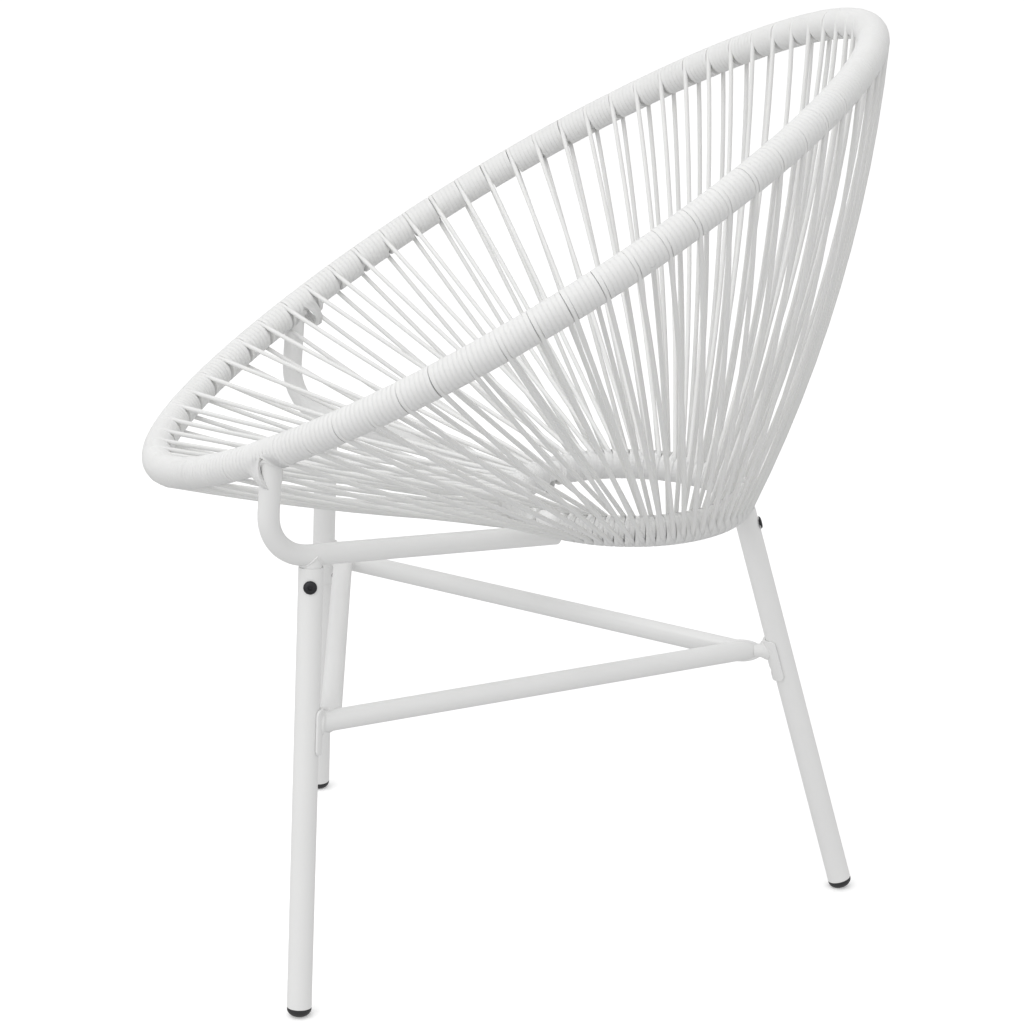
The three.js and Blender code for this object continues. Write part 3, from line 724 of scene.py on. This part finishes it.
def pipe(radius, wall, length, seat, axis):
    """A straight tube with a bore and eased ends."""
    inner = radius - wall
    profile = [(inner + LIP, 0), (radius - LIP, 0), (radius, LIP), (radius, length - LIP),
               (radius - LIP, length), (inner + LIP, length), (inner, length - LIP), (inner, LIP),
               (inner + LIP, 0)]
    return seated(spun(profile), seat, axis)


def leg_tube(place):
    _, top, end, axis = leg_ends(place)
    bm = pipe(LEG_TUBE, LEG_WALL, (end - top).length, top, axis)
    finished(f"leg_tube_{place}", bm, white_paint, [f"leg_{place}"])


def leg_stub(place):
    carrier, top, _, axis = leg_ends(place)
    bm = pipe(STUB_TUBE, STUB_WALL, (top - carrier).length + STUB_LENGTH, carrier, axis)
    finished(f"stub_tube_{place}", bm, white_paint, [f"leg_stub_{place}"])


def foot(place):
    """A ribbed stem inside the leg, a thin rim round its end and a dome cut flat on the floor."""
    _, _, end, axis = leg_ends(place)
    stem = LEG_TUBE - LEG_WALL - FIT
    low = stem - LEG_WALL
    profile = [(0, -FOOT_STEM), (low, -FOOT_STEM)]
    height = FOOT_RIB - FOOT_STEM
    while height + FOOT_RIB < 0:
        profile += [(low, height), (stem, height + FOOT_RIB / 2), (low, height + FOOT_RIB)]
        height += 2 * FOOT_RIB
    profile += [(low, FIT), (LEG_TUBE - FOOT_EDGE, FIT), (LEG_TUBE, FIT + FOOT_EDGE),
                (LEG_TUBE, FOOT_RIM)]
    dome_steps = 12
    for i in range(1, dome_steps):
        turn = math.pi / 2 * i / dome_steps
        height = FOOT_RIM + (FOOT_DROP - FOOT_RIM) * math.sin(turn)
        profile.append((LEG_TUBE * math.cos(turn), height))
    profile.append((0, FOOT_DROP))
    bm = seated(spun(profile), end, axis)
    cut_off(bm, (0, 0, 0), (0, 0, -1))
    finished(f"foot_{place}", bm, black_rubber, [f"foot_plug_{place}"])


def socket_screw(name, profile, seat, axis, socket, deep, node):
    """Spins a screw from its tip to the edge of its head, and sinks a hexagon socket there."""
    bm = spun(profile)
    height = profile[-1][1]
    rim = [e for e in bm.edges if e.is_boundary and abs(e.verts[0].co.z - height) < ON_PLANE]
    for hexagon, level in ((False, height), (True, height), (True, height - deep)):
        made = bmesh.ops.extrude_edge_only(bm, edges=rim)["geom"]
        rim = [g for g in made if isinstance(g, bmesh.types.BMEdge)
               and all(v in made for v in g.verts) and g.is_boundary]
        for v in {v for e in rim for v in e.verts}:
            turn = math.atan2(v.co.y, v.co.x)
            if hexagon:
                within = (turn + math.pi / 6) % (math.pi / 3) - math.pi / 6
                radius = socket / 2 / math.cos(within)
            else:
                radius = socket / 2 / math.cos(math.pi / 6) + LIP
            v.co = (radius * math.cos(turn), radius * math.sin(turn), level)
    bmesh.ops.holes_fill(bm, edges=rim, sides=0)
    finished(name, seated(bm, seat, axis), black_steel, [node], math.radians(35))


def shank_profile(radius, length):
    return [(0, -length), (radius - SHANK_EDGE, -length), (radius, SHANK_EDGE - length)]


def leg_bolt(place):
    _, top, _, axis = leg_ends(place)
    side = SIDES[place]
    outward = square_to(ACROSS * side if side else BACK, axis)
    seat = top + axis * BOLT_DOWN + outward * (LEG_TUBE + FIT)
    profile = shank_profile(BOLT_SHANK, BOLT_LENGTH) + [(BOLT_SHANK, 0)]
    profile += [(BOLT_HEAD * out, BOLT_HEIGHT * up) for out, up in BOLT_DOME]
    socket_screw(f"button_bolt_{place}", profile, seat, outward, BOLT_SOCKET, BOLT_SOCKET_DEEP,
                 f"leg_bolt_{place}")


def screw_seat(place):
    """The middle of a countersunk screw's face, flush with the curved saddle at its sides."""
    centre, axis, inward = saddle_place(place)
    spot = centre + axis * (BRACE_TUBE + SADDLE_BELOW / 2)
    return spot + inward * math.sqrt((LEG_TUBE + FIT + SADDLE) ** 2 - SCREW_HEAD ** 2), inward


def countersink(gap=0.0):
    shank, head = SCREW_SHANK + gap, SCREW_HEAD + gap
    return [(shank, shank - head - SCREW_EDGE), (head, -SCREW_EDGE)]


def saddle_screw(place):
    seat, inward = screw_seat(place)
    profile = shank_profile(SCREW_SHANK, SCREW_LENGTH) + countersink() + [(SCREW_HEAD, 0)]
    socket_screw(f"countersunk_screw_{place}", profile, seat, inward, SCREW_SOCKET,
                 SCREW_SOCKET_DEEP, f"brace_screw_{place}")


# Stretcher

BRACE_SIDES = 36


def coped_tube(start, end, start_carrier, end_carrier=None):
    """A stretcher tube whose ends follow the round carriers they meet."""
    axis = (end - start).normalized()
    first, second = square_pair(axis)
    rows = []
    for spot, way, carrier in ((start, axis, start_carrier), (end, -axis, end_carrier)):
        row = outline(spot, first, second, BRACE_TUBE, BRACE_SIDES)
        if carrier:
            row = [p + way * on_carrier(p, way, *carrier) for p in row]
        rows.append(row)
    return rolled(rows)


def saddle_carrier(place):
    """A saddle plate's outer face as a round carrier, a little inside for the weld to sink in."""
    _, top, _, axis = leg_ends(place)
    return top, axis, LEG_TUBE + 2 * FIT + SADDLE - WELD_SINK


def brace_tube(side):
    """A side tube, cut in the chair's middle plane and just short of the rear saddle."""
    word = WORDS[side]
    start, apex = brace_start(side), brace_apex()
    finish = apex + (apex - start).normalized() * BRACE_APEX
    bm = coped_tube(start, finish, saddle_carrier(f"front_{word}"))
    cut_off(bm, (0, 0, 0), ACROSS * -side)
    reach = saddle_carrier("rear")[2] - BRACE_TIP_SINK
    cut_off(bm, leg_place("rear", BRACE_REAR) + FRONT * reach, BACK)
    finished(f"side_tube_{word}", bm, white_paint, [f"brace_side_{word}"])


def cross_end(side):
    """Where the cross tube meets a side tube's middle line, and the way that tube runs."""
    start = brace_start(side)
    direction = (brace_apex() - start).normalized()
    return start + direction * (BRACE_SETBACK / direction.y), direction


def brace_cross():
    (left, left_run), (right, right_run) = cross_end(1), cross_end(-1)
    reach = BRACE_TUBE - WELD_SINK
    bm = coped_tube(right, left, (right, right_run, reach), (left, left_run, reach))
    finished("cross_tube", bm, white_paint, ["brace_cross"])


def saddle(place):
    """A plate bent round the leg, with rounded corners and eased edges."""
    centre, axis, inward = saddle_place(place)
    sideways = axis.cross(inward)
    inner, outer = LEG_TUBE + FIT, LEG_TUBE + FIT + SADDLE
    low, high = -BRACE_TUBE - SADDLE_ABOVE, BRACE_TUBE + SADDLE_BELOW
    half_wide = SADDLE_ARC / 2 * (inner + outer) / 2
    bm = bmesh.new()
    bmesh.ops.create_grid(bm, x_segments=1, y_segments=1, size=0.5)
    for v in bm.verts:
        v.co = Vector((2 * half_wide * v.co.x, (low + high) / 2 + (high - low) * v.co.y, 0))
    bmesh.ops.bevel(bm, geom=list(bm.verts), offset=SADDLE_CORNER, segments=8, profile=0.5,
                    affect="VERTICES", material=-1)
    for cut in range(1, SADDLE_CUTS):
        x = -half_wide + 2 * half_wide * cut / SADDLE_CUTS
        bmesh.ops.bisect_plane(bm, geom=everything(bm), dist=MERGE, plane_co=(x, 0, 0),
                               plane_no=(1, 0, 0))
    made = bmesh.ops.extrude_face_region(bm, geom=list(bm.faces))["geom"]
    raised = [g for g in made if isinstance(g, bmesh.types.BMVert)]
    bmesh.ops.translate(bm, vec=(0, 0, SADDLE), verts=raised)
    sharp = [e for e in bm.edges if len(e.link_faces) == 2 and e.calc_face_angle(0) > SADDLE_SHARP]
    bmesh.ops.bevel(bm, geom=sharp, offset=SADDLE_EDGE, segments=3, profile=0.5, affect="EDGES",
                    material=-1)
    for v in bm.verts:
        turn = v.co.x / ((inner + outer) / 2)
        radius = inner + v.co.z
        v.co = (centre + inward * (radius * math.cos(turn)) + sideways * (radius * math.sin(turn))
                + axis * v.co.y)
    hole = [(0, -SCREW_LENGTH), (SCREW_SHANK + SCREW_ROOM, -SCREW_LENGTH), *countersink(SCREW_ROOM),
            (SCREW_HEAD + SCREW_ROOM, SADDLE), (0, SADDLE)]
    bm = drilled(f"saddle_hole_{place}", bm, seated(spun(hole), screw_seat(place)[0], inward))
    finished(f"saddle_plate_{place}", bm, white_paint, [f"brace_saddle_{place}"])


# Welds: a rippled bead round each place where one tube meets another

def weld_bead(name, start, axis, radius, carrier, size=BEAD):
    first, second = square_pair(axis)
    rows = []
    for i in range(BEAD_SPOTS):
        turn = TURN * i / BEAD_SPOTS
        out = first * math.cos(turn) + second * math.sin(turn)
        edge = start + out * radius
        place = edge + axis * on_carrier(edge, axis, *carrier)
        ripple = RIPPLE_SHARE * abs(math.sin(BEAD_RIPPLES * turn))
        swell = SWELL_SHARE * math.sin(5 * turn + radius * 900)
        rows.append(outline(place, out, axis, size * (1 + ripple + swell), BEAD_SIDES))
    finished(name, rolled(rows, closed=True), white_paint)


def mitre_weld():
    """The bead where the two side tubes meet, thickest in the crotch between them."""
    apex = brace_apex()
    run = (apex - brace_start(1)).normalized()
    reach = BRACE_TUBE / abs(run.x)
    along = Vector((0, run.y, run.z)).normalized()
    upward = ACROSS.cross(along)
    spots = 96
    rows = []
    for i in range(spots):
        turn = TURN * i / spots
        spot = apex - along * (reach * math.cos(turn)) + upward * (BRACE_TUBE * math.sin(turn))
        path = along * (reach * math.sin(turn)) + upward * (BRACE_TUBE * math.cos(turn))
        out = path.normalized().cross(ACROSS)
        fill = MITRE_FILL * max(0.0, math.cos(turn)) ** 4
        size = MITRE_BEAD + fill + MITRE_RIPPLE * abs(math.sin(20 * turn))
        rows.append(outline(spot, out, ACROSS, size, BEAD_SIDES))
    finished("mitre_weld", rolled(rows, closed=True), white_paint)


def tip_weld():
    """The filled weld that joins the tip of the side tubes to the rear saddle, as (radius,
    distance from the saddle, share of the saddle's curve that it follows)."""
    seat = leg_place("rear", BRACE_REAR)
    carrier = saddle_carrier("rear")
    middle = on_carrier(seat, FRONT, *carrier)
    collar = ((0.0086, -0.0004, 1), (0.0091, 0.0006, 1), (0.0090, 0.0017, 0.95),
              (0.0082, 0.0028, 0.8), (0.0071, 0.0038, 0.45), (0.0065, 0.0050, 0.15),
              (0.0062, 0.0070, 0), (0.0058, 0.0110, 0))
    rows = []
    for radius, reach, follows in collar:
        row = []
        for point in outline(seat, ACROSS, UP, radius, 32):
            curve = on_carrier(point, FRONT, *carrier) - middle
            row.append(point + FRONT * (reach + middle + follows * curve))
        rows.append(row)
    finished("saddle_weld_rear", rolled(rows), white_paint, smooth_angle=math.radians(70))


def frame_welds():
    for side, word in WORDS.items():
        top, corner, end = rail_points(side)
        along, _, _ = directions(rim_place, RIM_NORMAL, side * RAIL_ANGLE)
        weld_bead(f"hoop_weld_{word}", top, (corner - top).normalized(), RAIL_TUBE,
                  (top, along, RIM_TUBE))
        place = f"front_{word}"
        carrier, _, _, axis = leg_ends(place)
        weld_bead(f"stub_weld_{place}", carrier, axis, STUB_TUBE,
                  (carrier, (end - corner).normalized(), RAIL_TUBE), STUB_BEAD)
        joint, run = cross_end(side)
        weld_bead(f"cross_weld_{word}", joint, ACROSS * -side, BRACE_TUBE, (joint, run, BRACE_TUBE))
        start = brace_start(side)
        weld_bead(f"saddle_weld_{place}", start, (brace_apex() - start).normalized(), BRACE_TUBE,
                  saddle_carrier(place))
    mitre_weld()
    tip_weld()


# The chair

for bay in range(BAYS):
    seat_cord(bay)
bent_tube("hoop_tube", rim_place, RIM_NORMAL, RIM_TUBE, "rim_hoop", steps=180)
bent_tube("ring_tube", ring_place, UP, RING_TUBE, "lower_ring", steps=96)
for side in WORDS:
    rail(side)
for place in SIDES:
    leg_tube(place)
    leg_stub(place)
    foot(place)
    leg_bolt(place)
    saddle(place)
    saddle_screw(place)
    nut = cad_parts[f"leg_nut_{place}"]
    nut.data.materials.clear()
    nut.data.materials.append(zinc_steel)
for side in WORDS:
    brace_tube(side)
brace_cross()
frame_welds()


# Floor, light and camera

SKY_LIGHT, GROUND_LIGHT, HORIZON_BLUR = 0.84, 0.66, 0.35
FLOOR_REACH, FLOOR_GLOW = 30, 0.22
LAMP_AIM = Vector((0, 0, 0.4))
EYE = Vector((2.780, -0.0681, 1.2777))
YAW, PITCH = math.radians(1.464), math.radians(-17.83)
SENSOR, FOCAL_PIXELS, PICTURE_PIXELS = 36, 3139.8, 1024


def soft_world():
    """A bright even sky over a dimmer ground, so that undersides fall off softly."""
    world = bpy.data.worlds.new("soft_studio")
    world.use_nodes = True
    nodes, links = world.node_tree.nodes, world.node_tree.links
    towards_sky = nodes.new("ShaderNodeSeparateXYZ")
    links.new(nodes.new("ShaderNodeTexCoord").outputs["Generated"], towards_sky.inputs[0])
    level = nodes.new("ShaderNodeMapRange")
    level.inputs["From Min"].default_value = -HORIZON_BLUR
    level.inputs["From Max"].default_value = HORIZON_BLUR
    level.inputs["To Min"].default_value = GROUND_LIGHT
    level.inputs["To Max"].default_value = SKY_LIGHT
    links.new(towards_sky.outputs["Z"], level.inputs["Value"])
    background = nodes["Background"]
    background.inputs["Color"].default_value = (1, 1, 1, 1)
    links.new(level.outputs["Result"], background.inputs["Strength"])
    bpy.context.scene.world = world


def aimed(holder, place, look):
    holder.location = place
    holder.rotation_euler = look.to_track_quat("-Z", "Y").to_euler()


def lamp(name, place, size, power):
    light = bpy.data.lights.new(name, "AREA")
    light.size = size
    light.energy = power
    aimed(linked(name, light), Vector(place), LAMP_AIM - Vector(place))


def floor():
    """A pale floor that glows a little and throws no light on the chair."""
    bm = bmesh.new()
    bmesh.ops.create_grid(bm, x_segments=1, y_segments=1, size=FLOOR_REACH)
    mesh = bpy.data.meshes.new("floor")
    bm.to_mesh(mesh)
    bm.free()
    ground = linked("floor", mesh)
    pale = bpy.data.materials.new("pale_floor")
    pale.use_nodes = True
    surface = pale.node_tree.nodes["Principled BSDF"].inputs
    surface["Base Color"].default_value = (0.98, 0.98, 0.98, 1)
    surface["Roughness"].default_value = 0.9
    surface["Specular IOR Level"].default_value = 0.1
    surface["Emission Color"].default_value = (1, 1, 1, 1)
    surface["Emission Strength"].default_value = FLOOR_GLOW
    mesh.materials.append(pale)
    ground.visible_diffuse = False
    ground.visible_glossy = False


def studio():
    floor()
    soft_world()
    lamp("soft_top", (0.8, -1.2, 3.0), 2.6, 22)
    lamp("soft_side", (3.0, -1.6, 1.6), 2.4, 16)
    bpy.context.scene.view_settings.view_transform = "Standard"


def camera():
    level = math.cos(PITCH)
    look = Vector((-level * math.cos(YAW), level * math.sin(YAW), math.sin(PITCH)))
    lens = bpy.data.cameras.new("camera")
    lens.sensor_width = SENSOR
    lens.lens = SENSOR * FOCAL_PIXELS / PICTURE_PIXELS
    holder = linked("camera", lens)
    aimed(holder, EYE, look)
    bpy.context.scene.camera = holder


studio()
camera()
